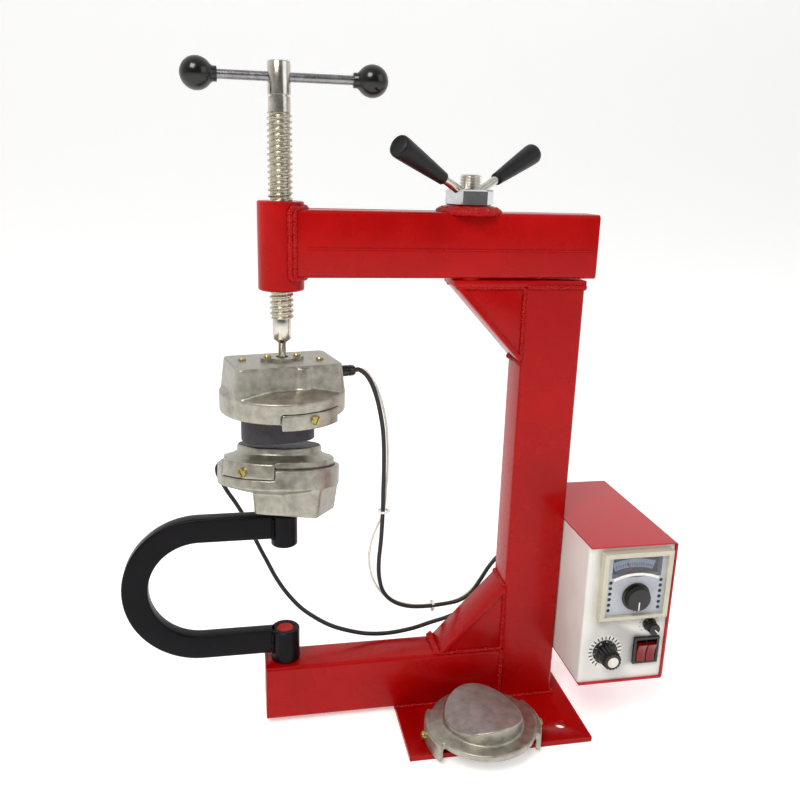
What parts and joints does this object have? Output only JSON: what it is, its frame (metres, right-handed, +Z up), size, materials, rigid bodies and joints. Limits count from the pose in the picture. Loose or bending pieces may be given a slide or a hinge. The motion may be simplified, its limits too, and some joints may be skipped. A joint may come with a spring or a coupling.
{
  "type": "tyre vulcanizer",
  "caption": "Bench tyre vulcanizer: a welded C-frame with a hand screw pressing an electrically heated head onto a second head on a swing arm, with a control box on the column.",
  "frame": {"origin": "centre of the base plate's foot holes, on the plate's underside", "axes": "+Z up, +X from the press towards the control box, +Y away from the operator"},
  "size_m": [0.537, 0.2308, 0.6451],
  "materials": {
    "red_paint": "gloss enamel, thick, with weld beads",
    "black_paint": "satin enamel",
    "cream_paint": "fine gloss enamel",
    "steel": "turned and nickelled",
    "chrome": "polished",
    "cast_aluminium": "rough sand-cast",
    "dark_die": "dark coated casting",
    "brass": "zinc-yellow plated",
    "heater": "mica heating disc",
    "black_plastic": "gloss",
    "grey_plastic": "matt",
    "cream_plastic": "gloss",
    "window": "clear",
    "red_plastic": "gloss",
    "black_rubber": "matt",
    "white_lead": "woven sleeve"
  },
  "bodies": {
    "frame": {"base_plate": "red_paint", "lower_arm": "red_paint", "column": "red_paint", "lower_gusset": "red_paint", "upper_gusset": "red_paint", "top_plate": "red_paint", "pivot_stud": "steel", "swing_pin": "red_paint", "box_chassis": "cream_paint", "box_cover": "red_paint", "box_bolts": "steel", "cover_screws": "steel", "controller_case": "cream_plastic", "controller_window": "window", "scale_plate": "grey_plastic", "timer": "grey_plastic", "trim_pot": "grey_plastic", "switch_case": "black_plastic", "terminal_block": "grey_plastic", "lead_grommets": "black_rubber", "mains_gland": "black_plastic", "upper_lead": "black_rubber", "sensor_lead": "white_lead", "lower_lead": "black_rubber"},
    "arm": {"upper_arm": "red_paint", "screw_sleeve": "red_paint", "pivot_bush": "red_paint"},
    "clamp": {"clamp_nut": "chrome", "lever_rods": "steel", "lever_grips": "black_plastic"},
    "upper_head": {"upper_cover": "cast_aluminium", "upper_heat_plate": "cast_aluminium", "upper_heater": "heater", "upper_die": "dark_die", "upper_die_screws": "brass", "ball_keeper": "cast_aluminium", "upper_cover_screws": "brass", "upper_gland": "black_plastic"},
    "screw": {"press_screw": "steel"},
    "handle": {"handle_bar": "steel", "bar_knobs": "black_plastic"},
    "swing_arm": {"swing_bar": "black_paint", "upper_boss": "black_paint", "lower_boss": "black_paint"},
    "head_stud": {"head_stud": "steel"},
    "lower_head": {"lower_cover": "cast_aluminium", "lower_heat_plate": "cast_aluminium", "lower_heater": "heater", "lower_die": "cast_aluminium", "lower_die_screws": "brass", "lower_gland": "black_plastic"},
    "spare": {"spare_die": "cast_aluminium", "spare_die_screws": "brass"},
    "needle": {"needle": "red_plastic"},
    "temp_knob": {"temp_knob": "black_plastic"},
    "timer_knob": {"timer_knob": "black_plastic"},
    "trim_knob": {"trim_knob": "black_plastic"},
    "rocker_left": {"rocker_left": "red_plastic"},
    "rocker_right": {"rocker_right": "red_plastic"}
  },
  "joints": [
    {"name": "arm_swing", "type": "hinge", "parent": "frame", "child": "arm", "pos_m": [-0.035, 0, 0.46], "axis": [0, 0, 1], "range_deg": [-90, 90], "deforming": ["upper_lead", "sensor_lead"]},
    {"name": "clamp_turn", "type": "hinge", "parent": "frame", "child": "clamp", "pos_m": [-0.035, 0, 0.535], "axis": [0, 0, 1], "range_deg": [0, 180]},
    {"name": "head_slide", "type": "slide", "parent": "arm", "child": "upper_head", "axis": [0, 0, 1], "range_m": [0, 0.05], "deforming": ["upper_lead", "sensor_lead"]},
    {"name": "screw_turn", "type": "hinge", "parent": "upper_head", "child": "screw", "pos_m": [-0.209, 0, 0.4], "axis": [0, 0, 1], "range_deg": [0, 3600], "deforming": ["upper_lead", "sensor_lead"]},
    {"name": "bar_slide", "type": "slide", "parent": "screw", "child": "handle", "axis": [1, 0, 0], "range_m": [-0.0525, 0.0405]},
    {"name": "swing_arm_turn", "type": "hinge", "parent": "frame", "child": "swing_arm", "pos_m": [-0.209, 0, 0.08], "axis": [0, 0, 1], "range_deg": [-100, 100], "deforming": ["lower_lead"]},
    {"name": "lower_head_turn", "type": "hinge", "parent": "swing_arm", "child": "head_stud", "pos_m": [-0.209, 0, 0.228], "axis": [0, 0, 1], "range_deg": [-60, 35], "deforming": ["lower_lead"]},
    {"name": "lower_head_lean", "type": "hinge", "parent": "head_stud", "child": "lower_head", "pos_m": [-0.209, 0, 0.2409], "axis": [-0.9744, 0.225, 0], "range_deg": [-12.5, 0], "deforming": ["lower_lead"]},
    {"name": "spare_die_lift", "type": "slide", "parent": "frame", "child": "spare", "axis": [0, 0, 1], "range_m": [0, 0.12]},
    {"name": "needle_turn", "type": "hinge", "parent": "frame", "child": "needle", "pos_m": [0.128, -0.0845, 0.178], "axis": [0, 1, 0], "range_deg": [0, 60]},
    {"name": "temp_knob_turn", "type": "hinge", "parent": "frame", "child": "temp_knob", "pos_m": [0.129, -0.0845, 0.159], "axis": [0, 1, 0], "range_deg": [-140, 140]},
    {"name": "timer_knob_turn", "type": "hinge", "parent": "frame", "child": "timer_knob", "pos_m": [0.105, -0.0845, 0.096], "axis": [0, 1, 0], "range_deg": [0, 300]},
    {"name": "trim_knob_turn", "type": "hinge", "parent": "frame", "child": "trim_knob", "pos_m": [0.15, -0.0845, 0.124], "axis": [0, 1, 0], "range_deg": [-140, 140]},
    {"name": "left_rocker_tip", "type": "hinge", "parent": "frame", "child": "rocker_left", "pos_m": [0.149, -0.0795, 0.095], "axis": [1, 0, 0], "range_deg": [-18, 0]},
    {"name": "right_rocker_tip", "type": "hinge", "parent": "frame", "child": "rocker_right", "pos_m": [0.149, -0.0795, 0.095], "axis": [1, 0, 0], "range_deg": [-18, 0]}
  ],
  "couplings": [
    {"joint": "screw_turn", "follows": "head_slide", "rad_per_m": 1256.6}
  ]
}
